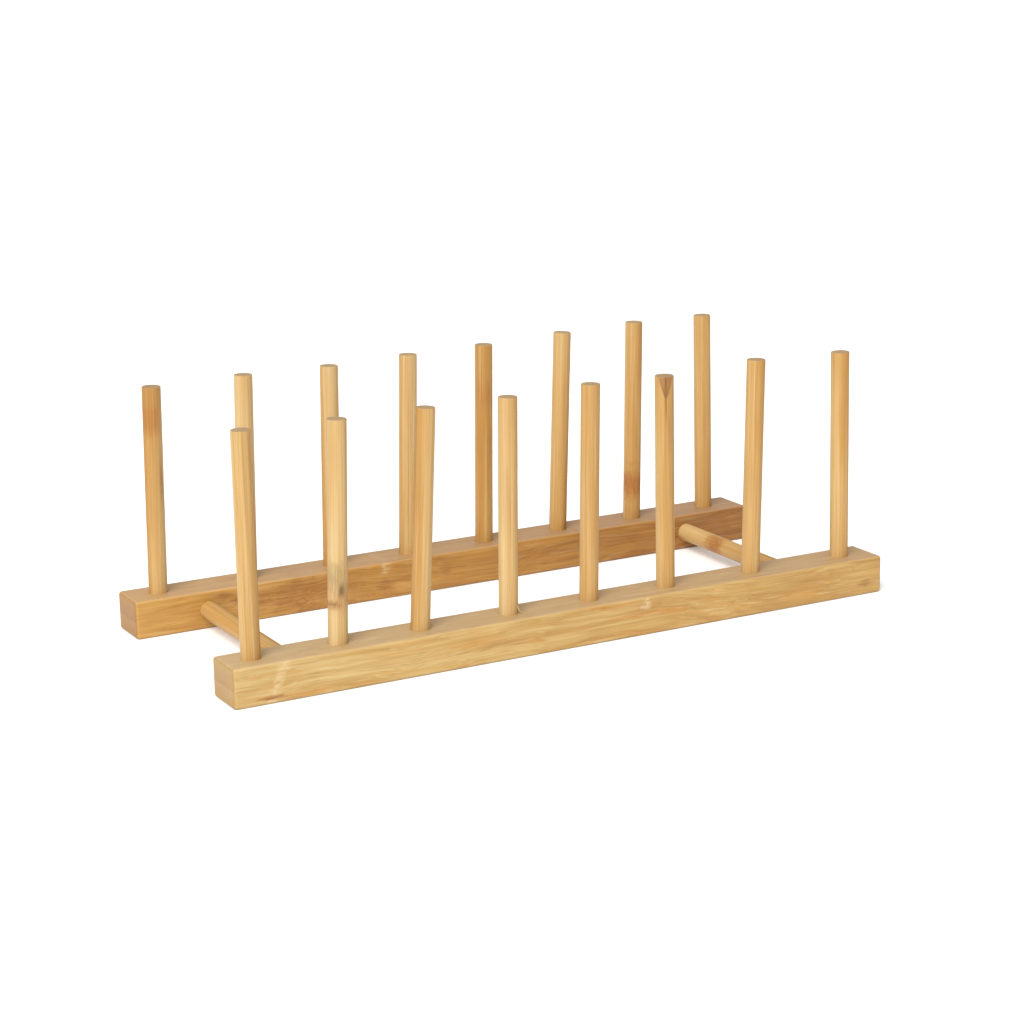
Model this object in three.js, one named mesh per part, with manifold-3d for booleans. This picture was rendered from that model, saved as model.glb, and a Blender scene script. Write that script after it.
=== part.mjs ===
// Dish drying rack: two laminated bamboo rails, two round crossbars that hold
// them apart, and a row of round pegs glued upright into each rail.
//
// Millimetres. +X runs along the rails, +Y from the front rail to the back
// rail, +Z up. The origin is on the table, under the middle of the rack.

import * as THREE from 'three';
import { mergeVertices } from 'three/addons/utils/BufferGeometryUtils.js';
import { RoundedBoxGeometry } from 'three/addons/geometries/RoundedBoxGeometry.js';
import Module from 'manifold-3d';

// ---- Rails ----
const RAIL_LENGTH = 335;
const RAIL_WIDTH = 23;
const RAIL_HEIGHT = 18;
const RAIL_EDGE_RADIUS = 1.5;
const RAIL_SPACING = 116; // middle of one rail to the middle of the other

// ---- Pegs ----
const PEG_COUNT = 8; // in each rail
const PEG_DIAMETER = 8.7;
const PEG_HEIGHT = 99; // from the rail's top face to the peg's top
const PEG_SEAT_DEPTH = 11;
const PEG_TOP_SOFTENING = 0.5;
const END_MARGIN = 15; // rail end to the middle of the end peg, before its shift

// The holes are drilled and the pegs glued by hand, so each peg is a little off:
// shift is along the rail, lean is how far its top stands towards +X, and rise is
// how far its top stands above the others.
const FRONT_PEG_FIT = [
  { shift: -2, lean: 0, rise: 0 },
  { shift: -5, lean: 3, rise: -0.5 },
  { shift: -9, lean: 5.5, rise: -0.5 },
  { shift: -8.5, lean: 1.5, rise: -0.5 },
  { shift: -10.5, lean: 2, rise: 0.5 },
  { shift: -13, lean: -0.5, rise: 0 },
  { shift: -9.5, lean: 2.5, rise: 2 },
  { shift: -2, lean: -1, rise: 0.5 },
];
const BACK_PEG_FIT = [
  { shift: 0.5, lean: 2, rise: -2 },
  { shift: 2, lean: 2, rise: -1.5 },
  { shift: 2, lean: 2, rise: -2 },
  { shift: -1, lean: 3, rise: -1 },
  { shift: -2.5, lean: 2, rise: -0.5 },
  { shift: -4, lean: 4, rise: 1 },
  { shift: -4, lean: 2, rise: 2 },
  { shift: -4, lean: -1, rise: 1.5 },
];

// ---- Crossbars ----
const CROSSBAR_DIAMETER = 8.7;
const CROSSBAR_SEAT_DEPTH = 8;
const CROSSBAR_END_SOFTENING = 0.5;
const LEFT_CROSSBAR_SHIFT = 0; // from midway between the pegs at its sides
const RIGHT_CROSSBAR_SHIFT = 4.5;

// ---- Joints ----
const GLUE_GAP = 0.3; // all round a dowel in its hole, and under its end
const DRILL_OVERRUN = 5; // how far a drill starts outside the rail

// ---- Fineness ----
const DOWEL_SIDES = 28;
const EDGE_STEPS = 2;

const wasm = await Module();
wasm.setup();

// ---- Solids: only for cutting one shape out of another ----

function toSolid(geometry) {
  const plain = geometry.index ? geometry.toNonIndexed() : geometry.clone();
  plain.deleteAttribute('normal');
  plain.deleteAttribute('uv');
  const merged = mergeVertices(plain, 1e-4);
  return new wasm.Manifold(new wasm.Mesh({
    numProp: 3,
    vertProperties: new Float32Array(merged.attributes.position.array),
    triVerts: new Uint32Array(merged.index.array),
  }));
}

function toGeometry(solid) {
  const mesh = solid.getMesh();
  const geometry = new THREE.BufferGeometry();
  geometry.setAttribute('position', new THREE.BufferAttribute(mesh.vertProperties, 3));
  geometry.setIndex(new THREE.BufferAttribute(mesh.triVerts, 1));
  geometry.computeVertexNormals();
  return geometry;
}

// ---- Where things go ----

// Middle of each peg along X, at the rail's top face.
function pegX(index, fit) {
  const pitch = (RAIL_LENGTH - 2 * END_MARGIN) / (PEG_COUNT - 1);
  const firstX = -RAIL_LENGTH / 2 + END_MARGIN;
  return firstX + index * pitch + fit[index % fit.length].shift;
}

function pegPlaces(y, fit) {
  const places = [];
  for (let i = 0; i < PEG_COUNT; i += 1) {
    const { lean, rise } = fit[i % fit.length];
    const height = PEG_HEIGHT + rise;
    places.push({
      x: pegX(i, fit),
      y,
      height,
      tilt: Math.atan2(lean, height),
    });
  }
  return places;
}

// A crossbar stands midway between two neighbouring pegs, front and back alike.
function crossbarX(leftPeg, shift) {
  const pegs = [FRONT_PEG_FIT, BACK_PEG_FIT].flatMap(
    (fit) => [pegX(leftPeg, fit), pegX(leftPeg + 1, fit)],
  );
  return pegs.reduce((sum, x) => sum + x, 0) / pegs.length + shift;
}

const frontY = -RAIL_SPACING / 2;
const backY = RAIL_SPACING / 2;
const frontPegs = pegPlaces(frontY, FRONT_PEG_FIT);
const backPegs = pegPlaces(backY, BACK_PEG_FIT);
const crossbarZ = RAIL_HEIGHT / 2;
const crossbars = {
  left_crossbar: crossbarX(0, LEFT_CROSSBAR_SHIFT),
  right_crossbar: crossbarX(PEG_COUNT - 2, RIGHT_CROSSBAR_SHIFT),
};

// ---- Shapes ----

// A dowel along +Z from z = bottom to z = top, with softened rims.
function dowelGeometry(diameter, bottom, top, softening) {
  const radius = diameter / 2;
  const inner = radius - softening;
  const profile = [
    new THREE.Vector2(0, bottom),
    new THREE.Vector2(inner, bottom),
    new THREE.Vector2(radius, bottom + softening),
    new THREE.Vector2(radius, top - softening),
    new THREE.Vector2(radius - softening * 0.3, top - softening * 0.3),
    new THREE.Vector2(inner, top),
    new THREE.Vector2(0, top),
  ];
  const geometry = new THREE.LatheGeometry(profile, DOWEL_SIDES);
  geometry.rotateX(Math.PI / 2);
  return geometry;
}

// The drill for a dowel's blind hole, along +Z: as deep as the dowel sits, plus glue.
function drillGeometry(diameter, depth) {
  const length = depth + GLUE_GAP + DRILL_OVERRUN;
  const radius = diameter / 2 + GLUE_GAP;
  const geometry = new THREE.CylinderGeometry(radius, radius, length, DOWEL_SIDES);
  geometry.rotateX(Math.PI / 2);
  geometry.translate(0, 0, length / 2 - depth - GLUE_GAP);
  return geometry;
}

function pegDrill(place, railY) {
  const drill = drillGeometry(PEG_DIAMETER, PEG_SEAT_DEPTH);
  drill.rotateY(place.tilt);
  drill.translate(place.x, place.y - railY, RAIL_HEIGHT / 2);
  return drill;
}

// towards is +1 or -1: the side of the rail that the crossbar comes in from.
function crossbarDrill(x, towards) {
  const drill = drillGeometry(CROSSBAR_DIAMETER, CROSSBAR_SEAT_DEPTH);
  drill.rotateX(-towards * Math.PI / 2);
  drill.translate(x, towards * RAIL_WIDTH / 2, crossbarZ - RAIL_HEIGHT / 2);
  return drill;
}

// A rail about its own middle, with its rounded edges, blind peg holes on top and
// blind crossbar holes in its inner side.
function railGeometry(pegs, railY) {
  const stick = new RoundedBoxGeometry(
    RAIL_LENGTH,
    RAIL_WIDTH,
    RAIL_HEIGHT,
    EDGE_STEPS,
    RAIL_EDGE_RADIUS,
  );
  let solid = toSolid(stick);
  for (const place of pegs) {
    solid = solid.subtract(toSolid(pegDrill(place, railY)));
  }
  for (const x of Object.values(crossbars)) {
    solid = solid.subtract(toSolid(crossbarDrill(x, -Math.sign(railY))));
  }
  return toGeometry(solid);
}

// ---- Pieces ----

const railBamboo = { color: 0xb79a6c, roughness: 0.55, metalness: 0 };
const pegBamboo = { color: 0xc9a873, roughness: 0.5, metalness: 0 };
const crossbarBamboo = { color: 0xc4a06a, roughness: 0.5, metalness: 0 };

function piece(name, geometry, look) {
  const mesh = new THREE.Mesh(geometry, new THREE.MeshStandardMaterial(look));
  mesh.name = name;
  return mesh;
}

function makeRail(name, pegs, y) {
  const rail = piece(name, railGeometry(pegs, y), railBamboo);
  rail.position.set(0, y, RAIL_HEIGHT / 2);
  return rail;
}

function makePegs(row, places) {
  const group = new THREE.Group();
  places.forEach((place, i) => {
    const geometry = dowelGeometry(
      PEG_DIAMETER,
      -PEG_SEAT_DEPTH,
      place.height / Math.cos(place.tilt),
      PEG_TOP_SOFTENING,
    );
    const peg = piece(`${row}_peg_${i + 1}`, geometry, pegBamboo);
    peg.position.set(place.x, place.y, RAIL_HEIGHT);
    peg.rotation.y = place.tilt;
    group.add(peg);
  });
  return group;
}

function makeCrossbar(name, x) {
  const reach = (RAIL_SPACING - RAIL_WIDTH) / 2 + CROSSBAR_SEAT_DEPTH;
  const geometry = dowelGeometry(
    CROSSBAR_DIAMETER,
    -reach,
    reach,
    CROSSBAR_END_SOFTENING,
  );
  const bar = piece(name, geometry, crossbarBamboo);
  bar.rotation.x = -Math.PI / 2;
  bar.position.set(x, 0, crossbarZ);
  return bar;
}

const group = new THREE.Group();

const frontRow = new THREE.Group();
frontRow.add(makeRail('front_rail', frontPegs, frontY));
frontRow.add(makePegs('front', frontPegs));
group.add(frontRow);

const backRow = new THREE.Group();
backRow.add(makeRail('back_rail', backPegs, backY));
backRow.add(makePegs('back', backPegs));
group.add(backRow);

for (const [name, x] of Object.entries(crossbars)) {
  group.add(makeCrossbar(name, x));
}

export default group;
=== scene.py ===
# %% [markdown]
# # A bamboo dish drying rack
#
# This lesson finishes a dish drying rack in Blender. The rack is twenty pieces of
# bamboo: two laminated rails that lie on the table, two round crossbars that hold
# them apart, and sixteen round pegs that keep plates on edge.
#
# The exact solids were made beforehand in a CAD program. Loading them gives a fixed
# frame, and everything below takes its place and size from that frame.

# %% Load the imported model
import math

import bmesh
import bpy
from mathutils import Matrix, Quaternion, Vector


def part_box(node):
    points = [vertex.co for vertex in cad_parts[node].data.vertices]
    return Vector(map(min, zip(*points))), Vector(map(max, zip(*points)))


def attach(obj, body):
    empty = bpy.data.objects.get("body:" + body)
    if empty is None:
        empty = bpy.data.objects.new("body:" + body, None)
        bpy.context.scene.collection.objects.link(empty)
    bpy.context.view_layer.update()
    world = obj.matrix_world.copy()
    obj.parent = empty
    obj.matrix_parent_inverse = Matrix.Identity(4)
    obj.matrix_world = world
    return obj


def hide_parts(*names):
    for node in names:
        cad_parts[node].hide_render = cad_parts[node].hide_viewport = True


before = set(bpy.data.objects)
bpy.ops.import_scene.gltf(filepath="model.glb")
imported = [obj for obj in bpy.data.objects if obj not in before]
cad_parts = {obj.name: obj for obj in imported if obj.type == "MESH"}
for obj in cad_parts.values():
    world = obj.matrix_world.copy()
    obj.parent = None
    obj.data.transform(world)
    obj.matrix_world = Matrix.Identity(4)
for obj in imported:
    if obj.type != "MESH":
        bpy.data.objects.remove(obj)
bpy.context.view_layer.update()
MM = 0.001  # one millimetre in Blender's metres

# %% [markdown]
# ## The camera
#
# A long lens from well over a metre away keeps the pegs nearly parallel. The camera
# stands to the left of the rack and a little above it, and it is held about one
# degree out of level, as a hand-set tripod often is. It is described by the turn and
# tilt of its line of sight, which are easier to think about than a position.

# %% Stand the camera
LOOK_AT = Vector((3.9, 0.0, 47.2)) * MM
CAMERA_TURN = math.radians(-28.49)
CAMERA_TILT = math.radians(14.43)
CAMERA_ROLL = math.radians(-1.02)
CAMERA_DISTANCE = 1151 * MM

towards_camera = Vector((
    math.sin(CAMERA_TURN) * math.cos(CAMERA_TILT),
    -math.cos(CAMERA_TURN) * math.cos(CAMERA_TILT),
    math.sin(CAMERA_TILT),
))
camera_data = bpy.data.cameras.new("studio camera")
camera_data.sensor_width = 36
camera_data.lens = 86.1
camera = bpy.data.objects.new("studio camera", camera_data)
camera.location = LOOK_AT + towards_camera * CAMERA_DISTANCE
camera.rotation_mode = "QUATERNION"
level = towards_camera.to_track_quat("Z", "Y")
camera.rotation_quaternion = level @ Quaternion((0, 0, 1), CAMERA_ROLL)
bpy.context.collection.objects.link(camera)
bpy.context.scene.camera = camera
print("camera stands at", [round(v, 3) for v in camera.location])

# %% [markdown]
# ## Two small helpers
#
# Paint charts and web colours are sRGB values, but Blender's sockets expect linear
# light. One function turns a hex colour into linear. A second one adds a node to any
# tree, shader or geometry, with its settings and its links in one call, so that the
# trees below read from top to bottom. A few short names stand for the kinds of node
# and the settings that come up most.

# %% Colours and nodes


def linear(hex_colour):
    """A hex colour such as "D6AC6C" as linear red, green, blue and alpha."""
    channels = [int(hex_colour[i:i + 2], 16) / 255 for i in (0, 2, 4)]
    return [
        c / 12.92 if c <= 0.04045 else ((c + 0.055) / 1.055) ** 2.4
        for c in channels
    ] + [1.0]


# The three kinds that nearly every step needs, and the settings that go with them.
MATH, RANGE, VECTOR = "ShaderNodeMath", "ShaderNodeMapRange", "ShaderNodeVectorMath"
TIMES, MINUS = {"operation": "MULTIPLY"}, {"operation": "SUBTRACT"}
SMOOTH = {"interpolation_type": "SMOOTHSTEP"}


def add(tree, kind, inputs=None, **settings):
    """Adds a node. inputs maps a socket's name or number to a value, to a socket to
    link from, or to a node, which is linked from its first output."""
    node = tree.nodes.new(kind)
    for key, value in settings.items():
        setattr(node, key, value)
    for key, value in (inputs or {}).items():
        if isinstance(value, bpy.types.Node):
            value = value.outputs[0]
        if isinstance(value, bpy.types.NodeSocket):
            tree.links.new(value, node.inputs[key])
        else:
            node.inputs[key].default_value = value
    return node


print("D6AC6C in linear light:", [round(c, 3) for c in linear("D6AC6C")[:3]])

# %% [markdown]
# ## Where every dowel stands
#
# A dowel is fully described by the middle of its end face, the way it points and its
# thickness. These come from the CAD solids: the rings of corners at each end of a
# dowel average out to a point on its axis, even when the dowel leans.

# %% Measure the dowels


def dowel_axis(node):
    """The middle of both end faces of a CAD dowel, the far (+Z or +Y) end last."""
    corners = [v.co.copy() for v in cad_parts[node].data.vertices]
    low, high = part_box(node)
    along = 2 if high.z - low.z > high.y - low.y else 1
    rim = 1.2 * MM
    near = [c for c in corners if c[along] < low[along] + rim]
    far = [c for c in corners if c[along] > high[along] - rim]
    middles = [sum(part, Vector()) / len(part) for part in (near, far)]
    direction = (middles[1] - middles[0]).normalized()
    reach = [c.dot(direction) for c in corners]
    start = middles[0] + direction * (min(reach) - middles[0].dot(direction))
    end = middles[1] + direction * (max(reach) - middles[1].dot(direction))
    return start, end


def dowel_diameter(node):
    """Thickness of a CAD dowel, across the rack for a peg and upright for a bar."""
    low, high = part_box(node)
    size = high - low
    return size.y if size.z > size.y else size.z


PEG_ROWS = {
    row: [f"{row}_peg_{i}" for i in range(1, 9)]
    for row in ("front", "back")
}
CROSSBARS = ["left_crossbar", "right_crossbar"]
peg_diameter = dowel_diameter("front_peg_1")
crossbar_diameter = dowel_diameter("left_crossbar")
for row, nodes in PEG_ROWS.items():
    leans = []
    for node in nodes:
        start, end = dowel_axis(node)
        lean = math.degrees(math.atan2(end.x - start.x, end.z - start.z))
        leans.append(round(lean, 1))
    print(row, "pegs lean, in degrees:", leans)
print("dowel thickness in mm:", round(peg_diameter / MM, 2))

# %% [markdown]
# ## What makes each dowel different
#
# All the dowels are milled from bamboo culm, about 9 mm of wall. One side of such a
# dowel was near the green skin, where the fibres are packed and brown, and the other
# was near the hollow, where they are sparse and pale. So each dowel gets a spin,
# which says where its dark side faces, and two tones, at its end face and at its foot,
# from pale (0) to toasted (1). The tone at the foot is partly painted light: where a
# foot is paler than the end face, that paleness lifts the shade that falls near the rail.
#
# Some also carry marks of how the bamboo grew: a node, the thin ring where a leaf
# sheath was; a blush, the browner bamboo beside it; a scar, the wedge under a bud; a
# grey-green stain; a streak of riper fibres; or a fleck, one dark fibre. A mark is
# given by its distance from the end face in mm, the way it faces in degrees round the
# rack, and its strength, or for a scar its length in mm.

# %% Describe the dowels
NO_MARK = (0, 0, 0)
MARKS = ("node", "blush", "stain", "streak", "fleck", "scar")
# tone is (end face, foot); a paler foot is painted light against the shade near the rail.
DOWEL_LOOKS = {
    "front_peg_1": {"spin": -50, "tone": (0.14, 0.10)},
    "front_peg_2": {
        "spin": 35, "tone": (0.20, -0.10), "node": (80.5, -165, 1.0),
        "stain": (68, -135, 1.0), "fleck": (74.5, -92, 1.0), "blush": (77, -85, 0.45),
    },
    "front_peg_3": {"spin": 170, "tone": (0.32, 0.10)},
    "front_peg_4": {"spin": -30, "tone": (0.17, -0.05)},
    "front_peg_5": {"spin": -90, "tone": (0.20, 0.08)},
    "front_peg_6": {
        "spin": -60, "tone": (0.38, 0.0), "scar": (0, -112, 11), "streak": (26, -92, 0.5),
    },
    "front_peg_7": {"spin": -30, "tone": (0.44, 0.14)},
    "front_peg_8": {"spin": -20, "tone": (0.50, 0.04)},
    "back_peg_1": {
        "spin": 160, "tone": (0.54, -0.06), "blush": (15, -160, 0.55),
        "streak": (44, -62, 1.0),
    },
    "back_peg_2": {"spin": 60, "tone": (0.06, -0.05)},
    "back_peg_3": {"spin": 100, "tone": (0.0, 0.52)},
    "back_peg_4": {"spin": 170, "tone": (-0.04, 0.0)},
    "back_peg_5": {
        "spin": -140, "tone": (0.30, 0.34), "blush": (24, -100, 0.3),
        "streak": (50, -72, 0.6),
    },
    "back_peg_6": {"spin": 10, "tone": (0.25, 0.58)},
    "back_peg_7": {
        "spin": -60, "tone": (0.18, 0.26), "node": (72, -118, 0.2), "blush": (83, -118, 0.9),
    },
    "back_peg_8": {"spin": -30, "tone": (0.26, 0.46)},
    "left_crossbar": {"spin": 0, "tone": (0.50, 0.56)},
    "right_crossbar": {
        "spin": 40, "tone": (0.02, 0.62), "blush": (40, 180, 1.0), "node": (33, 180, 0.3),
    },
}
print("dowels described:", len(DOWEL_LOOKS))


# %% [markdown]
# ## Points that carry the looks
#
# Geometry Nodes can read numbers that are stored on points. So each dowel becomes one
# point at its end face, and its direction, spin, tones and marks ride on that point.

# %% One point per dowel


def facing(node, side):
    """The way a mark faces, as an angle about its own dowel's axis."""
    return math.radians(side - DOWEL_LOOKS[node]["spin"])


def dowel_points(name, nodes):
    """A mesh of one point per dowel, at its end face, that carries its own numbers."""
    mesh = bpy.data.meshes.new(name)
    axes = [dowel_axis(node) for node in nodes]
    mesh.from_pydata([end for _, end in axes], [], [])
    vectors = {"direction": [(end - start).normalized() for start, end in axes]}
    for mark in MARKS:
        found = [DOWEL_LOOKS[node].get(mark, NO_MARK) for node in nodes]
        vectors[mark] = [
            (drop * MM, facing(node, side), strength)
            for node, (drop, side, strength) in zip(nodes, found)
        ]
    numbers = {
        "spin": [math.radians(DOWEL_LOOKS[node]["spin"]) for node in nodes],
        "tone": [DOWEL_LOOKS[node]["tone"][0] for node in nodes],
        "foot_tone": [DOWEL_LOOKS[node]["tone"][1] for node in nodes],
        "number": [float(sorted(DOWEL_LOOKS).index(node)) for node in nodes],
    }
    for key, values in vectors.items():
        data = mesh.attributes.new(key, "FLOAT_VECTOR", "POINT").data
        for item, value in zip(data, values):
            item.vector = value
    for key, values in numbers.items():
        data = mesh.attributes.new(key, "FLOAT", "POINT").data
        for item, value in zip(data, values):
            item.value = value
    points = bpy.data.objects.new(name, mesh)
    bpy.context.collection.objects.link(points)
    return points


print("each point carries", 5 + len(MARKS), "values")

# %% [markdown]
# ## One Geometry Nodes tree for every dowel
#
# Eighteen dowels that differ only in place and direction are a repeat, so a small
# Geometry Nodes tree makes them: it builds one dowel that hangs from the middle of
# its end face, puts a copy on each point, turns it the way the point says and spins
# it about its own length. The dowel's own coordinates are stored before it is
# copied, so that the grain can follow each dowel however it leans.

# %% Build the dowel tree


def dowel_tree():
    tree = bpy.data.node_groups.new("dowels on points", "GeometryNodeTree")
    face = tree.interface
    face.new_socket("Geometry", in_out="INPUT", socket_type="NodeSocketGeometry")
    for name, value in (
        ("Diameter", 8.7 * MM), ("Length", 108 * MM), ("Waviness", 0.04 * MM),
    ):
        socket = face.new_socket(name, in_out="INPUT", socket_type="NodeSocketFloat")
        socket.default_value = value
    for name, value in (("Sides", 64), ("Rings", 48)):
        socket = face.new_socket(name, in_out="INPUT", socket_type="NodeSocketInt")
        socket.default_value = value
    face.new_socket("Material", in_out="INPUT", socket_type="NodeSocketMaterial")
    face.new_socket("Geometry", in_out="OUTPUT", socket_type="NodeSocketGeometry")

    given = add(tree, "NodeGroupInput").outputs
    radius = add(tree, MATH, {0: given["Diameter"], 1: 2.0}, operation="DIVIDE")
    dowel = add(tree, "GeometryNodeMeshCylinder", {
        "Vertices": given["Sides"],
        "Side Segments": given["Rings"],
        "Radius": radius,
        "Depth": given["Length"],
    }, fill_type="NGON")
    drop = add(tree, MATH, {0: given["Length"], 1: -0.5}, **TIMES)
    hang = add(tree, "ShaderNodeCombineXYZ", {"Z": drop})
    hung = add(tree, "GeometryNodeTransform", {
        "Geometry": dowel,
        "Translation": hang,
    })
    place = add(tree, "GeometryNodeInputPosition")
    stored = add(tree, "GeometryNodeStoreNamedAttribute", {
        "Geometry": hung,
        "Name": "dowel_place",
        "Value": place,
    }, data_type="FLOAT_VECTOR", domain="POINT")

    direction = add(tree, "GeometryNodeInputNamedAttribute", {
        "Name": "direction",
    }, data_type="FLOAT_VECTOR")
    spin = add(tree, "GeometryNodeInputNamedAttribute", {"Name": "spin"}, data_type="FLOAT")
    stand = add(tree, "FunctionNodeAlignRotationToVector", {
        "Vector": direction,
    }, axis="Z", pivot_axis="AUTO")
    about_itself = add(tree, "FunctionNodeAxisAngleToRotation", {
        "Axis": (0, 0, 1),
        "Angle": spin,
    })
    turned = add(tree, "FunctionNodeRotateRotation", {
        "Rotation": stand,
        "Rotate By": about_itself,
    }, rotation_space="LOCAL")
    copies = add(tree, "GeometryNodeInstanceOnPoints", {
        "Points": given["Geometry"],
        "Instance": stored,
        "Rotation": turned,
    })
    real = add(tree, "GeometryNodeRealizeInstances", {"Geometry": copies})

    # A sanded dowel is never quite true, so its sides wander by a few hundredths.
    wander = add(tree, "ShaderNodeTexNoise", {"Scale": 55.0, "Detail": 1.0})
    centred = add(tree, VECTOR, {
        0: wander.outputs["Color"],
        1: (0.5, 0.5, 0.5),
    }, **MINUS)
    twice = add(tree, MATH, {0: given["Waviness"], 1: 2.0}, **TIMES)
    offset = add(tree, VECTOR, {
        0: centred,
        "Scale": twice,
    }, operation="SCALE")
    sanded = add(tree, "GeometryNodeSetPosition", {
        "Geometry": real,
        "Offset": offset,
    })
    dressed = add(tree, "GeometryNodeSetMaterial", {
        "Geometry": sanded,
        "Material": given["Material"],
    })
    add(tree, "NodeGroupOutput", {0: dressed})
    return tree


DOWEL_TREE = dowel_tree()
print("the dowel tree has", len(DOWEL_TREE.nodes), "nodes")

# %% [markdown]
# ## From points to finished dowels
#
# A modifier runs the tree on the points, and its result is kept as a plain mesh, so
# that nothing is left to be worked out later. The saw leaves a crisp rim at each end
# face, and sanding takes it off, so a narrow bevel follows.

# %% Run the tree and soften the rims


def make_dowels(name, nodes, material=None, **sizes):
    """Runs the tree on the dowels' points and returns the result as a plain mesh."""
    points = dowel_points(name, nodes)
    modifier = points.modifiers.new("dowels", "NODES")
    modifier.node_group = DOWEL_TREE
    sockets = {
        item.name: item.identifier
        for item in DOWEL_TREE.interface.items_tree
        if item.item_type == "SOCKET" and item.in_out == "INPUT"
    }
    for key, value in sizes.items():
        modifier[sockets[key]] = value
    if material:
        modifier[sockets["Material"]] = material
    graph = bpy.context.evaluated_depsgraph_get()
    mesh = bpy.data.meshes.new_from_object(points.evaluated_get(graph))
    mesh.name = name
    points.modifiers.remove(modifier)
    points.data = mesh
    print(name, "has", len(mesh.polygons), "faces on", len(nodes), "dowels")
    return points


def finish_dowels(piece, rim=0.45 * MM):
    """Softens the rims of the end faces and keeps the faces themselves flat."""
    piece.data.polygons.foreach_set("use_smooth", [True] * len(piece.data.polygons))
    bevel = piece.modifiers.new("softened rims", "BEVEL")
    bevel.width = rim
    bevel.segments = 3
    bevel.limit_method = "ANGLE"
    bevel.angle_limit = math.radians(50)
    flat = piece.modifiers.new("flat end faces", "WEIGHTED_NORMAL")
    flat.weight = 100


# %% [markdown]
# ## Bamboo, seen close
#
# Bamboo is a grass, so it has no rings and no pores of wood. Its look comes from
# thousands of straight fibre bundles, brown and about a quarter of a millimetre
# thick, in a pale ground. Seen from the side they are long thin lines, and seen from
# the end they are dots. A solid pattern that is stretched along the fibres gives
# both at once, because an end face simply cuts through it. The finest threads are
# drawn a little coarser than they are, so that they show.
#
# Every finish below is made of the same few steps: stretched noise, weighted sums of
# it, colours from pale to dark for the sum, and tints laid over them.

# %% Shared steps of a bamboo finish
ALONG_RAIL, ALONG_DOWEL = 0, 2  # the coordinate that the fibres follow


def stretched_noise(tree, place, across, along, length_axis, detail=2.0, seed=0.0):
    """Noise whose blobs are `across` mm thick and `along` mm long."""
    scale = [1 / across] * 3
    scale[length_axis] = 1 / along
    squeezed = add(tree, VECTOR, {0: place, 1: scale}, **TIMES)
    noise = add(tree, "ShaderNodeTexNoise", {
        "Vector": squeezed,
        "W": seed,
        "Scale": 1.0,
        "Detail": detail,
        "Roughness": 0.5,
    }, noise_dimensions="4D")
    return noise.outputs["Fac"]


def sums(tree, *parts):
    """Adds up (value, share) pairs."""
    total = 0.0
    for value, share in parts:
        total = add(tree, MATH, {0: value, 1: share, 2: total}, operation="MULTIPLY_ADD")
    return total


def distance(tree, value, centre):
    """How far value is from centre, either way."""
    gap = add(tree, MATH, {0: value, 1: centre}, **MINUS)
    return add(tree, MATH, {0: gap}, operation="ABSOLUTE")


def figure_colour(tree, figure, palest, darkest, stops):
    """Colours the bamboo's figure from (position, hex colour) stops, pale to dark."""
    shade = add(tree, RANGE, {0: figure, 1: palest, 2: darkest})
    node = add(tree, "ShaderNodeValToRGB", {0: shade})
    node.color_ramp.interpolation = "LINEAR"
    elements = node.color_ramp.elements
    while len(elements) < len(stops):
        elements.new(0.5)
    for element, (position, hex_colour) in zip(elements, stops):
        element.position = position
        element.color = linear(hex_colour)
    return node.outputs[0]


def tinted(tree, colour, mask, share, tint):
    """Lays a share of a hex tint over a colour wherever the mask is."""
    amount = add(tree, MATH, {0: mask, 1: share}, **TIMES)
    mixed = add(tree, "ShaderNodeMix", {
        0: amount, 6: colour, 7: linear(tint),
    }, data_type="RGBA")
    return mixed.outputs[2]


print("fibres run along axis", ALONG_RAIL, "in a rail and", ALONG_DOWEL, "in a dowel")

# %% [markdown]
# ## The surface of the bamboo
#
# The rack is sanded and oiled, so it is satin: a rough, weak gloss, a little duller on
# the fibre bundles, which also stand a few hundredths of a millimetre proud. The rails
# have a trace of lacquer over that, which the coat gives.

# %% A satin surface


def new_material(name):
    material = bpy.data.materials.new(name)
    material.use_nodes = True
    return material


def in_mm(tree, place):
    """A place in metres as millimetres, whole and split into its coordinates."""
    place = add(tree, VECTOR, {0: place, "Scale": 1 / MM}, operation="SCALE")
    return place, add(tree, "ShaderNodeSeparateXYZ", {0: place}).outputs


def bamboo_surface(material, colour, fibres, coat, bump_mm):
    """A satin surface: bare bamboo, its fibres a little proud, under a thin coat."""
    tree = material.node_tree
    shader = tree.nodes["Principled BSDF"]
    tree.links.new(colour, shader.inputs["Base Color"])
    rough = add(tree, RANGE, {0: fibres, 3: 0.5, 4: 0.62})
    tree.links.new(rough.outputs[0], shader.inputs["Roughness"])
    shader.inputs["IOR"].default_value = 1.5
    shader.inputs["Specular IOR Level"].default_value = 0.3
    shader.inputs["Coat Weight"].default_value = coat
    shader.inputs["Coat Roughness"].default_value = 0.32
    bump = add(tree, "ShaderNodeBump", {
        "Strength": 0.5,
        "Distance": bump_mm * MM,
        "Height": fibres,
    })
    tree.links.new(bump.outputs[0], shader.inputs["Normal"])
    material.diffuse_color = linear("D6AC6C")
    print("made", material.name, "with", len(tree.nodes), "nodes")


# %% [markdown]
# ## Marks on a dowel
#
# A mark is a soft mask in the dowel's own coordinates. It is near one height, on one
# side, and broken up by the grain. Nodes, blushes and stains are such clouds, and
# streaks and flecks are clouds kept close to one line down the dowel. All dowels share
# one material, and a mark whose strength is 0 on a dowel simply doesn't show there.

# %% Clouds, streaks and flecks
# Name, waviness and length in mm, how far round it starts and is full (as a cosine),
# share of the tint, tint.
CLOUDS = [
    ("blush", 8, 10.0, -0.5, 0.6, 0.85, "935520"),
    ("stain", 9, 9.0, -0.1, 1.0, 0.6, "8A7348"),
    ("node", 4, 2.6, 0.1, 0.9, 0.6, "8C5829"),
    ("node", 4, 0.8, 0.1, 0.9, 0.4, "5C4326"),
]
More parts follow.
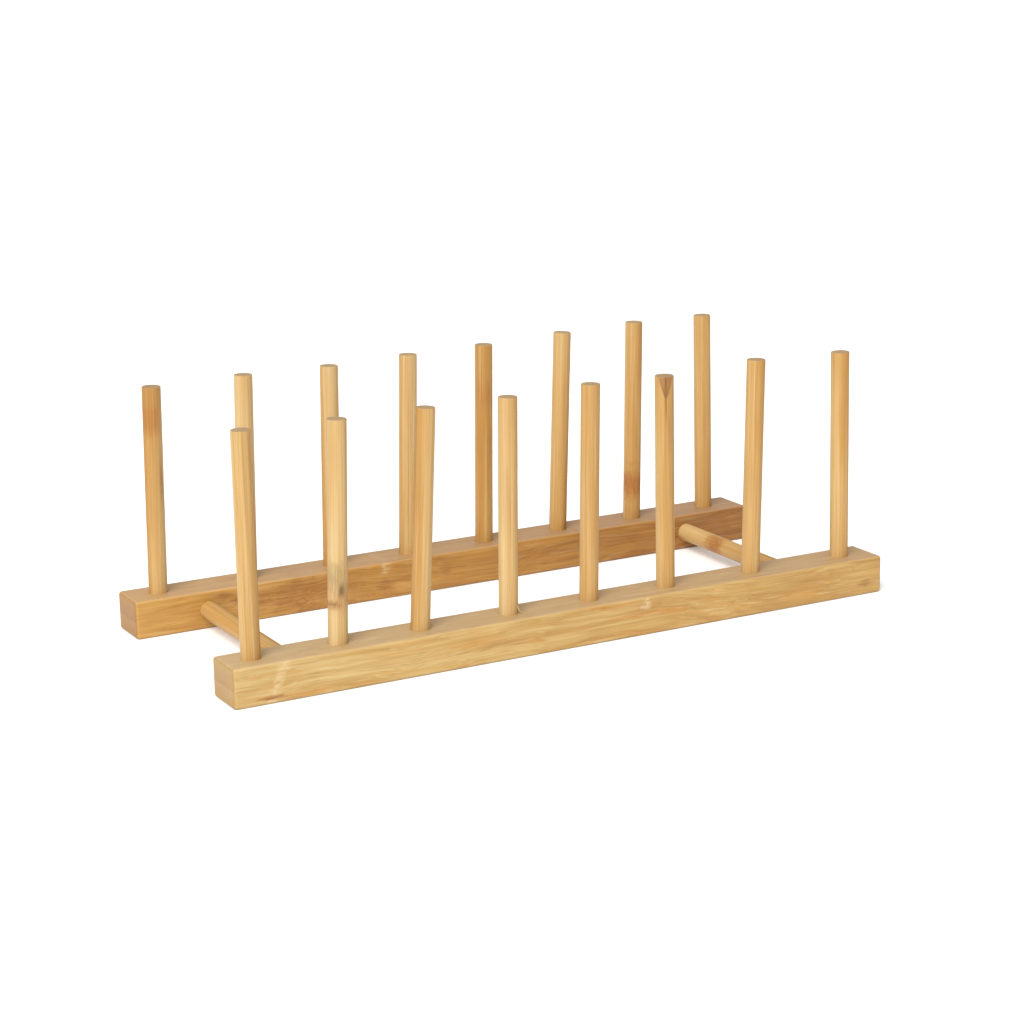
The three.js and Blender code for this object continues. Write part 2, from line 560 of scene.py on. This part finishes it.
# Name, length, half width and half core in mm, share of the tint, tint.
LINES = [
    ("streak", 14.0, 1.5, 0.1, 0.6, "8F5A22"),
    ("fleck", 5.0, 2.0, 0.3, 0.75, "58462B"),
]


def on_side(tree, axes, side, low, high):
    """1 on the side of the dowel that faces the angle `side`, 0 round the back."""
    angle = add(tree, MATH, {0: axes["Y"], 1: axes["X"]}, operation="ARCTAN2")
    turn = add(tree, MATH, {0: angle, 1: side}, **MINUS)
    front = add(tree, MATH, {0: turn}, operation="COSINE")
    return add(tree, RANGE, {0: front, 1: low, 2: high}, **SMOOTH)


def beside_line(tree, axes, side):
    """How far a point is to the side of the line that faces `side`, in mm."""
    sine = add(tree, MATH, {0: side}, operation="SINE")
    cosine = add(tree, MATH, {0: side}, operation="COSINE")
    left = add(tree, MATH, {0: axes["Y"], 1: cosine}, **TIMES)
    right = add(tree, MATH, {0: axes["X"], 1: sine}, **TIMES)
    return distance(tree, left, right)


def cloud(tree, axes, mark, wobble, grainy, wander, length, low, high):
    """A soft patch at a mark's height and side, with a wavy edge."""
    below = sums(tree, (axes["Z"], 1.0), (mark["X"], 1 / MM), (wobble, wander))
    drop = distance(tree, below, wander / 2)
    near = add(tree, RANGE, {0: drop, 1: length, 2: length * 0.15}, **SMOOTH)
    side = on_side(tree, axes, mark["Y"], low, high)
    broken = add(tree, RANGE, {0: grainy, 1: 0.25, 2: 0.6, 3: 0.45, 4: 1.0}, **SMOOTH)
    patch = add(tree, MATH, {0: near, 1: side}, **TIMES)
    patch = add(tree, MATH, {0: patch, 1: broken}, **TIMES)
    return add(tree, MATH, {0: patch, 1: mark["Z"]}, **TIMES)


def dowel_marks(tree, own, place, axes, number, colour):
    """Lays the marks that each dowel carries over its colour."""
    wobble = stretched_noise(tree, place, 2.4, 3.2, ALONG_DOWEL, detail=3, seed=number)
    grainy = stretched_noise(tree, place, 0.5, 5.0, ALONG_DOWEL, detail=2, seed=number)
    mark = {
        name: add(tree, "ShaderNodeSeparateXYZ", {0: own(name).outputs["Vector"]}).outputs
        for name in MARKS
    }
    for name, wander, length, low, high, share, tint in CLOUDS:
        patch = cloud(tree, axes, mark[name], wobble, grainy, wander, length, low, high)
        colour = tinted(tree, colour, patch, share, tint)
    for name, length, half_width, half_core, share, tint in LINES:
        beside = beside_line(tree, axes, mark[name]["Y"])
        thin = add(tree, RANGE, {0: beside, 1: half_width, 2: half_core}, **SMOOTH)
        patch = cloud(tree, axes, mark[name], wobble, grainy, 3.0, length, 0.2, 0.6)
        thin = add(tree, MATH, {0: thin, 1: patch}, **TIMES)
        colour = tinted(tree, colour, thin, share, tint)
    return bud_scar(tree, axes, mark["scar"], wobble, colour)


print("soft marks:", sorted({row[0] for row in CLOUDS + LINES}))

# %% [markdown]
# ## The scar of a bud
#
# Under a bud the culm is dented, and a dowel cut there shows a brown wedge with a
# darker rim. It is as wide as the dent at the end face, narrows to a point, and trails
# off in one dark fibre.

# %% The scar
SCAR_HALF_WIDTH_MM = 3.2


def bud_scar(tree, axes, scar, wobble, colour):
    """Lays the wedge of a scar over the colour of a dowel that has one."""
    length = scar["Z"]
    depth = sums(tree, (axes["Z"], -1.0), (wobble, 1.0))
    share = add(tree, MATH, {0: depth, 1: length}, operation="DIVIDE")
    half = add(tree, RANGE, {0: share, 1: 0.0, 2: 1.0, 3: SCAR_HALF_WIDTH_MM, 4: 0.0})
    beside = beside_line(tree, axes, scar["Y"])
    edge = add(tree, MATH, {0: beside, 1: half}, **MINUS)
    has_scar = add(tree, RANGE, {0: length, 1: 0.5, 2: 1.0}, **SMOOTH)
    side = on_side(tree, axes, scar["Y"], 0.0, 0.3)
    here = add(tree, MATH, {0: side, 1: has_scar}, **TIMES)

    wedge = add(tree, RANGE, {0: edge, 1: 0.4, 2: -0.8}, **SMOOTH)
    not_past = add(tree, RANGE, {0: share, 1: 1.1, 2: 0.9}, **SMOOTH)
    inside = add(tree, MATH, {0: wedge, 1: not_past}, **TIMES)
    inside = add(tree, MATH, {0: inside, 1: here}, **TIMES)

    on_edge = add(tree, RANGE, {0: distance(tree, edge, 0.0), 1: 0.6, 2: 0.1}, **SMOOTH)
    not_past = add(tree, RANGE, {0: share, 1: 1.1, 2: 0.8}, **SMOOTH)
    deepens = add(tree, RANGE, {0: share, 1: 0.0, 2: 0.6, 3: 0.45, 4: 1.0}, **SMOOTH)
    rim = add(tree, MATH, {0: on_edge, 1: not_past}, **TIMES)
    rim = add(tree, MATH, {0: rim, 1: deepens}, **TIMES)

    fibre = add(tree, RANGE, {0: beside, 1: 0.5, 2: 0.1}, **SMOOTH)
    fades = add(tree, RANGE, {0: share, 1: 2.3, 2: 1.2}, **SMOOTH)
    trail = add(tree, MATH, {0: fibre, 1: fades}, **TIMES)
    rim = add(tree, MATH, {0: rim, 1: trail}, operation="MAXIMUM")
    rim = add(tree, MATH, {0: rim, 1: here}, **TIMES)
    colour = tinted(tree, colour, inside, 0.65, "855832")
    return tinted(tree, colour, rim, 0.6, "5F391D")


print("a scar is", 2 * SCAR_HALF_WIDTH_MM, "mm wide at the end face")

# %% [markdown]
# ## The dowels' bamboo
#
# The dowel finish reads the coordinates that the tree stored, in millimetres. Its
# colour goes from the pale side to the dark side and from the end face to the foot.
# Streaks about a millimetre wide, the fibre bundles and the marks are laid over it,
# and the sawn end face is duller and greyer than the oiled side, and is also painted
# darker, as shade.

# %% Bamboo dowel
DOWEL_TONES = [(0.0, "CAB183"), (0.3, "BE9B64"), (0.6, "AD7F3F"), (1.0, "905B25")]


def bamboo_dowel():
    material = new_material("bamboo dowel, milled and oiled")
    tree = material.node_tree

    def own(name):
        return add(tree, "ShaderNodeAttribute", attribute_name=name)

    place, axes = in_mm(tree, own("dowel_place").outputs["Vector"])
    number = own("number").outputs["Fac"]
    seed = add(tree, MATH, {0: number, 1: 7.3}, **TIMES)
    pale_seed = add(tree, MATH, {0: number, 1: 3.1}, **TIMES)

    # The tone runs evenly from the end face to the foot. A paler foot is painted light
    # against the shade near the rail.
    down = add(tree, RANGE, {0: axes["Z"], 1: 0.0, 2: -100.0})
    tone = add(tree, "ShaderNodeMix", {
        0: down, 2: own("tone").outputs["Fac"], 3: own("foot_tone").outputs["Fac"],
    })

    # The dark side of each dowel lies towards its own +X.
    skin = add(tree, RANGE, {0: axes["X"], 1: -3.5, 2: 4.5})
    bands = stretched_noise(tree, place, 2.4, 150, ALONG_DOWEL, detail=1, seed=seed)
    streaks = stretched_noise(tree, place, 0.9, 85, ALONG_DOWEL, detail=3, seed=seed)
    patches = stretched_noise(tree, place, 6.0, 34, ALONG_DOWEL, detail=2, seed=seed)
    figure = sums(
        tree, (skin, 0.30), (bands, 0.60), (streaks, 0.55), (patches, 0.35), (tone, 0.70),
    )
    colour = figure_colour(tree, figure, 0.49, 1.79, DOWEL_TONES)

    # Fibre bundles: brown threads, packed towards the dark side, and pale ones.
    threads = stretched_noise(tree, place, 0.36, 40, ALONG_DOWEL, detail=1, seed=seed)
    threads = sums(tree, (threads, 1.0), (skin, 0.08))
    packed = add(tree, RANGE, {0: threads, 1: 0.56, 2: 0.70}, **SMOOTH)
    colour = tinted(tree, colour, packed, 0.22, "825729")
    threads = stretched_noise(tree, place, 0.6, 60, ALONG_DOWEL, detail=1, seed=pale_seed)
    pale = add(tree, RANGE, {0: threads, 1: 0.56, 2: 0.74}, **SMOOTH)
    colour = tinted(tree, colour, pale, 0.22, "D2BF99")

    colour = dowel_marks(tree, own, place, axes, number, colour)
    # The sawn end face is greyer end grain, and this tint also paints it darker, as shade.
    end_grain_and_shade = add(tree, RANGE, {0: axes["Z"], 1: -0.35, 2: -0.1}, **SMOOTH)
    colour = tinted(tree, colour, end_grain_and_shade, 0.70, "947C5E")
    bamboo_surface(material, colour, packed, coat=0.0, bump_mm=0.05)
    return material


DOWEL_BAMBOO = bamboo_dowel()

# %% [markdown]
# ## Marks in a rail
#
# Two kinds of mark lie in the rails. A node crosses a rail as a short, pale, knotted
# band. A streak is a soft lens of browner bamboo that lies along the grain; two such
# lenses on the back rail paint the shade at the left crossbar's joint.

# %% Nodes and streaks in a rail
RAIL_TOP_MM = 18


def pale_node(tree, axes, wobble, top_x, slope, low_z, high_z):
    """A soft mask along a node that crosses the rail between two heights."""
    along = sums(tree, (axes["X"], 1.0), (axes["Z"], -slope), (wobble, 8.0))
    off = distance(tree, along, top_x - RAIL_TOP_MM * slope + 4.0)
    band = add(tree, RANGE, {0: off, 1: 3.6, 2: 0.3}, **SMOOTH)
    above = add(tree, RANGE, {0: axes["Z"], 1: low_z - 0.6, 2: low_z + 0.6}, **SMOOTH)
    below = add(tree, RANGE, {0: axes["Z"], 1: high_z + 0.6, 2: high_z - 0.6}, **SMOOTH)
    between = add(tree, MATH, {0: above, 1: below}, **TIMES)
    return add(tree, MATH, {0: band, 1: between}, **TIMES)


def brown_streak(tree, axes, wobble, x, z, half_length, half_height):
    """A soft brown lens lying along the grain: browner bamboo, and in two places painted
    shade.
    """
    along = distance(tree, axes["X"], x)
    up = distance(tree, axes["Z"], z)
    away = sums(tree, (along, 1 / half_length), (up, 1 / half_height), (wobble, 0.9))
    return add(tree, RANGE, {0: away, 1: 1.5, 2: 0.7}, **SMOOTH)


def rail_marks(tree, place, axes, threads, seed, colour, pale_nodes, brown_streaks):
    """Lays a rail's nodes and streaks over its colour."""
    wobble = stretched_noise(tree, place, 3.2, 3.2, ALONG_RAIL, detail=3, seed=seed + 11)
    knots = stretched_noise(tree, place, 0.8, 3.4, ALONG_RAIL, detail=2, seed=seed + 13)
    knotted = add(tree, RANGE, {0: knots, 1: 0.35, 2: 0.6, 3: 0.15, 4: 1.0}, **SMOOTH)
    threaded = add(tree, RANGE, {0: threads, 1: 0.35, 2: 0.65, 3: 0.35, 4: 1.0}, **SMOOTH)
    for *shape, strength in pale_nodes:
        band = pale_node(tree, axes, wobble, *shape)
        band = add(tree, MATH, {0: band, 1: knotted}, **TIMES)
        colour = tinted(tree, colour, band, strength, "DCC59A")
    for *shape, strength in brown_streaks:
        lens = brown_streak(tree, axes, wobble, *shape)
        lens = add(tree, MATH, {0: lens, 1: threaded}, **TIMES)
        colour = tinted(tree, colour, lens, strength, "87501F")
    return colour


print("rails are", RAIL_TOP_MM, "mm high")

# %% [markdown]
# ## The rails' bamboo
#
# A rail is a laminate: two strips of bamboo, pressed and glued one on the other. Each
# strip is pale at its upper side and browner at its lower side, because that side was
# near the skin of the culm, so the end faces show one soft band per strip with a thin
# glue line between them. Along the rail the fibres wander a little.
#
# The pattern reads Object coordinates, so it is one solid block of bamboo that the
# rail is cut from. Which way a face looks then sets more of its colour: the ends are
# cut across the fibres and are darker, partly their own colour and partly painted
# shade; the top carries a painted shade that is greyer, as a painted reflection; the
# rounded corners carry a painted highlight, and the upright corners at the ends a
# painted shade.

# %% Grain, strips, glue line and painted light
PLY_JOINT_MM = 8.2  # the glue line's height above the table
RAIL_HALF_LENGTH_MM = 167


def wandering_grain(tree, place, axes, seed, sweeps):
    """A rail's coordinates, moved so that the fibres wander and sweep downwards."""
    drift = stretched_noise(tree, place, 14, 55, ALONG_RAIL, detail=2, seed=seed)
    shift = add(tree, RANGE, {0: drift, 1: 0.25, 2: 0.75, 3: -2.2, 4: 2.2})
    for from_x, to_x, fall in sweeps:
        swept = add(tree, RANGE, {0: axes["X"], 1: from_x, 2: to_x}, **SMOOTH)
        shift = sums(tree, (shift, 1.0), (swept, fall))
    lift = add(tree, "ShaderNodeCombineXYZ", {"Y": shift, "Z": shift})
    return add(tree, VECTOR, {0: place, 1: lift}, operation="ADD")


def ply_shade(tree, axes, grain, end_share):
    """How brown a strip is: more towards its lower side, and plainest on the ends."""
    height = add(tree, "ShaderNodeSeparateXYZ", {0: grain}).outputs["Z"]
    upper = add(tree, RANGE, {0: height, 1: 19.5, 2: PLY_JOINT_MM})
    lower = add(tree, RANGE, {0: height, 1: PLY_JOINT_MM, 2: 0.0})
    in_upper = add(tree, RANGE, {
        0: axes["Z"], 1: PLY_JOINT_MM - 0.05, 2: PLY_JOINT_MM + 0.05,
    }, **SMOOTH)
    ply = add(tree, "ShaderNodeMix", {0: in_upper, 2: lower, 3: upper})
    return add(tree, MATH, {0: ply, 1: end_share}, **TIMES)


def glue_line_and_painted_light(tree, axes, sides, cut_end, painted_top_shade, end_share, colour):
    """The glue line, and painted light: a painted shade on the tops, greyer as a painted
    reflection, ends darker partly as painted shade, a painted highlight on the corners
    and a painted shade on the upright corners at the ends.
    """
    off = distance(tree, axes["Z"], PLY_JOINT_MM)
    seam = add(tree, RANGE, {0: off, 1: 0.28, 2: 0.05}, **SMOOTH)
    seam = add(tree, MATH, {0: seam, 1: end_share}, **TIMES)
    flatness = add(tree, MATH, {0: sides["Y"], 1: sides["Z"]}, operation="MAXIMUM")
    flatness = add(tree, MATH, {0: flatness, 1: sides["X"]}, operation="MAXIMUM")
    corner = add(tree, RANGE, {0: flatness, 1: 0.97, 2: 0.8}, **SMOOTH)
    endwards = add(tree, RANGE, {0: sides["X"], 1: 0.15, 2: 0.5}, **SMOOTH)
    # upright: the rounded corners at the ends, painted darker as shade.
    upright = add(tree, MATH, {0: corner, 1: endwards}, **TIMES)
    # Painted light: the tops get a painted shade, greyer as a painted reflection; the ends
    # get painted shade over their own darker grain; the corners a painted highlight.
    for mask, share, tint in (
        (seam, 0.22, "7C5128"), (painted_top_shade, 0.45, "A78D71"), (cut_end, 0.45, "89642D"),
        (corner, 0.08, "D7C29D"), (upright, 0.35, "8A6231"),
    ):
        colour = tinted(tree, colour, mask, share, tint)
    return colour


print("the glue line is", PLY_JOINT_MM, "mm above the table")

# %% [markdown]
# ## The laminate
#
# One function puts the steps together for either rail: the figure, its colours, the
# golden streaks, the fibre bundles, the rail's own marks, and last the glue line and
# the painted shade and highlights on the faces.

# %% Laminated bamboo


def bamboo_laminate(
    name, seed, stops, tone_left, tone_right, golden, pale_share, sweeps, pale_nodes,
    brown_streaks,
):
    material = new_material(name)
    tree = material.node_tree
    place, axes = in_mm(tree, add(tree, "ShaderNodeTexCoord").outputs["Object"])
    grain = wandering_grain(tree, place, axes, seed, sweeps)

    def figure_noise(across, along, detail, step):
        return stretched_noise(tree, grain, across, along, ALONG_RAIL, detail, seed + step)

    # Which way each face looks, and how much the end faces calm or deepen the figure; their
    # darkening below is partly painted shade.
    normal = add(tree, "ShaderNodeNewGeometry").outputs["Normal"]
    looks = add(tree, VECTOR, {0: normal}, operation="ABSOLUTE")
    sides = add(tree, "ShaderNodeSeparateXYZ", {0: looks}).outputs
    cut_end = add(tree, RANGE, {0: sides["X"], 1: 0.6, 2: 0.95}, **SMOOTH)
    # The tops' mask carries a painted shade and a greyer painted reflection.
    painted_top_shade = add(tree, RANGE, {0: sides["Z"], 1: 0.6, 2: 0.95}, **SMOOTH)
    calm = add(tree, RANGE, {0: cut_end, 3: 1.0, 4: 0.35}, **SMOOTH)
    end_share = add(tree, RANGE, {0: cut_end, 3: 0.3, 4: 1.0}, **SMOOTH)

    tone = add(tree, RANGE, {
        0: axes["X"], 1: -RAIL_HALF_LENGTH_MM, 2: RAIL_HALF_LENGTH_MM,
        3: tone_left, 4: tone_right,
    })
    figure = sums(
        tree, (figure_noise(1.7, 80, 3, 3), 1.0), (figure_noise(0.7, 34, 2, 4), 0.45),
        (figure_noise(3.6, 30, 2, 5), 0.80), (tone, 1.0),
    )
    figure = add(tree, MATH, {0: figure, 1: calm}, **TIMES)
    ply = ply_shade(tree, axes, grain, end_share)
    # The end faces are darker here, partly the end grain's own colour and partly painted
    # shade.
    figure = sums(tree, (figure, 1.0), (cut_end, 0.73), (ply, 0.42))
    colour = figure_colour(tree, figure, 0.56, 2.04, stops)

    # Golden streaks, where the bamboo is riper.
    gold = add(tree, RANGE, {0: figure_noise(2.2, 36, 2, 15), 1: 0.52, 2: 0.68}, **SMOOTH)
    colour = tinted(tree, colour, gold, golden, "BE8236")

    # Fibre bundles come in clusters, with calm bamboo between them.
    cluster = add(tree, RANGE, {
        0: figure_noise(5, 40, 1, 6), 1: 0.4, 2: 0.6, 3: 0.3, 4: 1.0,
    }, **SMOOTH)
    cluster = add(tree, MATH, {0: cluster, 1: calm}, **TIMES)
    threads = figure_noise(0.42, 36, 2, 7)
    packed = add(tree, RANGE, {0: threads, 1: 0.54, 2: 0.70}, **SMOOTH)
    packed = add(tree, MATH, {0: packed, 1: cluster}, **TIMES)
    colour = tinted(tree, colour, packed, 0.38, "784C20")
    pale = add(tree, RANGE, {0: figure_noise(0.8, 48, 1, 9), 1: 0.54, 2: 0.74}, **SMOOTH)
    pale = add(tree, MATH, {0: pale, 1: calm}, **TIMES)
    colour = tinted(tree, colour, pale, pale_share, "D8C195")

    colour = rail_marks(tree, place, axes, threads, seed, colour, pale_nodes, brown_streaks)
    colour = glue_line_and_painted_light(tree, axes, sides, cut_end, painted_top_shade, end_share, colour)
    bamboo_surface(material, colour, packed, coat=0.22, bump_mm=0.06)
    return material


print("a rail's tone runs over", 2 * RAIL_HALF_LENGTH_MM, "mm")

# %% [markdown]
# ## Two rails from two culms
#
# The front rail is pale and golden and gets browner to the right. The back rail comes
# from riper bamboo and is brown throughout. Each has its own nodes and streaks, placed
# in millimetres from the middle of the rack and above the table.

# %% The front and the back rail's bamboo
FRONT_BAMBOO = bamboo_laminate(
    "laminated bamboo, front rail", 2.0,
    [(0.0, "D6C090"), (0.3, "C0A36A"), (0.6, "AE894B"), (1.0, "8F602D")],
    tone_left=-0.06, tone_right=0.42, golden=0.40, pale_share=0.26,
    sweeps=[(30, 112, 6.5)],
    pale_nodes=[(-143, 0.45, 0, 18, 0.42), (34.7, 0, 12.5, 17.5, 0.55)],
    brown_streaks=[
        (158, 5.8, 7, 3.0, 0.7), (-150, 3.0, 12, 1.6, 1.0), (8, 2.5, 16, 1.2, 0.4),
    ],
)
BACK_BAMBOO = bamboo_laminate(
    "laminated bamboo, back rail", 31.0,
    [(0.0, "BD904B"), (0.3, "A57633"), (0.6, "8E5C23"), (1.0, "6B3D14")],
    tone_left=-0.56, tone_right=0.34, golden=0.25, pale_share=0.14,
    sweeps=[(-70, -20, 3.0)],
    pale_nodes=[(-40, 0.2, 12, 18, 0.35)],
    brown_streaks=[
        # The first two lenses, beside the left crossbar's joint, are painted shade.
        (-124, 14.5, 7, 3.0, 0.9), (-117, 11.5, 6, 3.0, 0.9), (-108, 8, 10, 2.5, 0.5),
        (-90, 14, 9, 2.0, 0.5), (-41, 7, 7, 6, 0.55), (-8, 10, 6, 6, 0.5),
        (-84, 9, 40, 14, 0.75),
    ],
)

# %% [markdown]
# ## The rails
#
# A rail starts as a box with rounded edges, made with bmesh. Its holes are drilled by
# the same tree that makes the dowels: drills are dowels a hair thicker and longer,
# and a Boolean takes them out of the rail. So every dowel fits its own hole, lean
# and all.

# %% Cut and drill the rails
RAIL_ROUNDING = 1.5 * MM
DRILL_CLEARANCE = 0.08 * MM


def rounded_stick(name, low, high):
    """A box between two corners with rounded edges, its place in its mesh."""
    form = bmesh.new()
    bmesh.ops.create_cube(form, size=1.0)
    size = high - low
    for vertex in form.verts:
        vertex.co = Vector((
            low[i] + (vertex.co[i] + 0.5) * size[i] for i in range(3)
        ))
    bmesh.ops.bevel(
        form, geom=list(form.edges), offset=RAIL_ROUNDING, segments=5,
        profile=0.5, affect="EDGES",
    )
    mesh = bpy.data.meshes.new(name)
    form.to_mesh(mesh)
    form.free()
    stick = bpy.data.objects.new(name, mesh)
    bpy.context.collection.objects.link(stick)
    return stick


def drill(stick, nodes, diameter, length):
    """Takes the dowels' holes out of the stick."""
    drills = make_dowels(
        stick.name + "_drills", nodes,
        Diameter=diameter + 2 * DRILL_CLEARANCE,
        Length=length + DRILL_CLEARANCE,
        Waviness=0.0, Sides=64, Rings=1,
    )
    cut = stick.modifiers.new("holes", "BOOLEAN")
    cut.operation = "DIFFERENCE"
    cut.solver = "EXACT"
    cut.object = drills
    graph = bpy.context.evaluated_depsgraph_get()
    mesh = bpy.data.meshes.new_from_object(stick.evaluated_get(graph))
    stick.modifiers.remove(cut)
    stick.data = mesh
    bpy.data.objects.remove(drills)


PEG_LENGTH = min((end - start).length for start, end in (
    dowel_axis(node) for row in PEG_ROWS.values() for node in row
))
bar_start, bar_end = dowel_axis("left_crossbar")
CROSSBAR_LENGTH = (bar_end - bar_start).length
for row, bamboo in (("front", FRONT_BAMBOO), ("back", BACK_BAMBOO)):
    rail = rounded_stick(row + "_rail_finished", *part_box(row + "_rail"))
    drill(rail, PEG_ROWS[row], peg_diameter, PEG_LENGTH)
    drill(rail, CROSSBARS, crossbar_diameter, CROSSBAR_LENGTH)
    rail.data.materials.clear()
    rail.data.materials.append(bamboo)
    rail.data.polygons.foreach_set("use_smooth", [True] * len(rail.data.polygons))
    flat = rail.modifiers.new("flat faces", "WEIGHTED_NORMAL")
    flat.weight = 100
    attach(rail, "root")
    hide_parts(row + "_rail")
    print(rail.name, "has", len(rail.data.polygons), "faces")

# %% [markdown]
# ## The pegs and the crossbars
#
# All pegs are cut to one length; what differs is how far each was pushed into its
# hole. The crossbars come from the same tree with their own length.

# %% Set the pegs and crossbars
for row, nodes in PEG_ROWS.items():
    pegs = make_dowels(
        row + "_pegs_finished", nodes, DOWEL_BAMBOO,
        Diameter=peg_diameter, Length=PEG_LENGTH,
    )
    finish_dowels(pegs)
    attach(pegs, "root")
    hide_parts(*nodes)

bars = make_dowels(
    "crossbars_finished", CROSSBARS, DOWEL_BAMBOO,
    Diameter=crossbar_diameter, Length=CROSSBAR_LENGTH,
)
finish_dowels(bars)
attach(bars, "root")
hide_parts(*CROSSBARS)

# %% [markdown]
# ## A splinter
#
# Where the fourth front peg was knocked into its hole, a sliver of its side lifted
# and curled away. It is a thin strip that tapers to a tip just above the rail.

# %% Lift the splinter


def inner_bamboo():
    """Pale torn bamboo, its fibres running up and down."""
    material = new_material("torn bamboo, pale inside")
    tree = material.node_tree
    place, _ = in_mm(tree, add(tree, "ShaderNodeTexCoord").outputs["Object"])
    fibres = stretched_noise(tree, place, 0.3, 6, ALONG_DOWEL, seed=5.0)
    colour = figure_colour(tree, fibres, 0.3, 0.7, [(0.0, "CDB083"), (1.0, "B8935C")])
    bamboo_surface(material, colour, fibres, coat=0.0, bump_mm=0.03)
    return material


SPLINTER_STEPS = 12
CORNERS = ((-1, -1), (1, -1), (1, 1), (-1, 1))


def lifted_splinter(name, node, side, ground, height, reach, width, thickness):
    """A strip that leaves a peg's side at a height above ground and bends outwards."""
    start, end = dowel_axis(node)
    axis = (end - start).normalized()
    foot = start + axis * ((ground - start.z) / axis.z)
    outwards = Vector((math.cos(side), math.sin(side), 0))
    sideways = axis.cross(outwards).normalized()
    form = bmesh.new()
    rings = []
    for i in range(SPLINTER_STEPS + 1):
        share = i / SPLINTER_STEPS
        out = peg_diameter / 2 + reach * share ** 1.7
        middle = foot + axis * height * (1 - 0.95 * share) + outwards * out
        half_width = width / 2 * (1 - 0.7 * share)
        half_thickness = thickness / 2 * (1 - 0.5 * share)
        rings.append([
            form.verts.new(middle + sideways * half_width * a + outwards * half_thickness * b)
            for a, b in CORNERS
        ])
    for ring, following in zip(rings, rings[1:]):
        for j in range(len(CORNERS)):
            k = (j + 1) % len(CORNERS)
            form.faces.new((ring[j], ring[k], following[k], following[j]))
    form.faces.new(rings[0])
    form.faces.new(rings[-1])
    bmesh.ops.recalc_face_normals(form, faces=list(form.faces))
    mesh = bpy.data.meshes.new(name)
    form.to_mesh(mesh)
    form.free()
    mesh.materials.append(inner_bamboo())
    splinter = bpy.data.objects.new(name, mesh)
    bpy.context.collection.objects.link(splinter)
    return splinter


splinter = lifted_splinter(
    "front_peg_4_splinter", "front_peg_4", side=math.radians(-45),
    ground=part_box("front_rail")[1].z, height=3.8 * MM, reach=1.8 * MM,
    width=1.6 * MM, thickness=0.5 * MM,
)
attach(splinter, "root")
print(splinter.name, "has", len(splinter.data.polygons), "faces")

# %% [markdown]
# ## Studio
#
# The floor is a plain, nearly white sheet. The light is broad and soft: an even white
# surround fills every shadow, and one large soft sun stands in front, to the left, so
# the pegs are brightest a little left of their middle and turn darker to the right. A
# weak one overhead whitens the floor between the rails.

# %% Floor and light


FLOOR_REACH = 12.0  # metres each way, far past the edge of the view


def studio_floor():
    mesh = bpy.data.meshes.new("studio floor")
    reach = FLOOR_REACH
    mesh.from_pydata(
        [(-reach, -reach, 0), (reach, -reach, 0), (reach, reach, 0), (-reach, reach, 0)],
        [], [(0, 1, 2, 3)],
    )
    floor = bpy.data.objects.new("studio floor", mesh)
    paper = new_material("matt white paper")
    shader = paper.node_tree.nodes["Principled BSDF"]
    shader.inputs["Base Color"].default_value = linear("FCFCFC")
    shader.inputs["Roughness"].default_value = 0.9
    shader.inputs["Specular IOR Level"].default_value = 0.1
    mesh.materials.append(paper)
    bpy.context.collection.objects.link(floor)


def soft_sun(name, turn, height, strength, softness):
    """A sun from an angle round the rack (0 is in front, negative is to the left)."""
    data = bpy.data.lights.new(name, "SUN")
    data.energy = strength
    data.angle = math.radians(softness)
    sun = bpy.data.objects.new(name, data)
    turn, height = math.radians(turn), math.radians(height)
    source = Vector((
        math.sin(turn) * math.cos(height),
        -math.cos(turn) * math.cos(height),
        math.sin(height),
    ))
    sun.rotation_mode = "QUATERNION"
    sun.rotation_quaternion = source.to_track_quat("Z", "Y")
    bpy.context.collection.objects.link(sun)
    return sun


studio_floor()
key = soft_sun("key light", turn=-49, height=42, strength=3.2, softness=40)
overhead = soft_sun("overhead", turn=0, height=90, strength=0.7, softness=80)
world = bpy.data.worlds.new("white surround")
world.use_nodes = True
world.node_tree.nodes["Background"].inputs["Color"].default_value = linear("FFFFFF")
world.node_tree.nodes["Background"].inputs["Strength"].default_value = 0.52
bpy.context.scene.world = world
bpy.context.scene.view_settings.view_transform = "Standard"
bpy.context.scene.view_settings.look = "None"
print("light strengths", [round(sun.data.energy, 2) for sun in (key, overhead)])
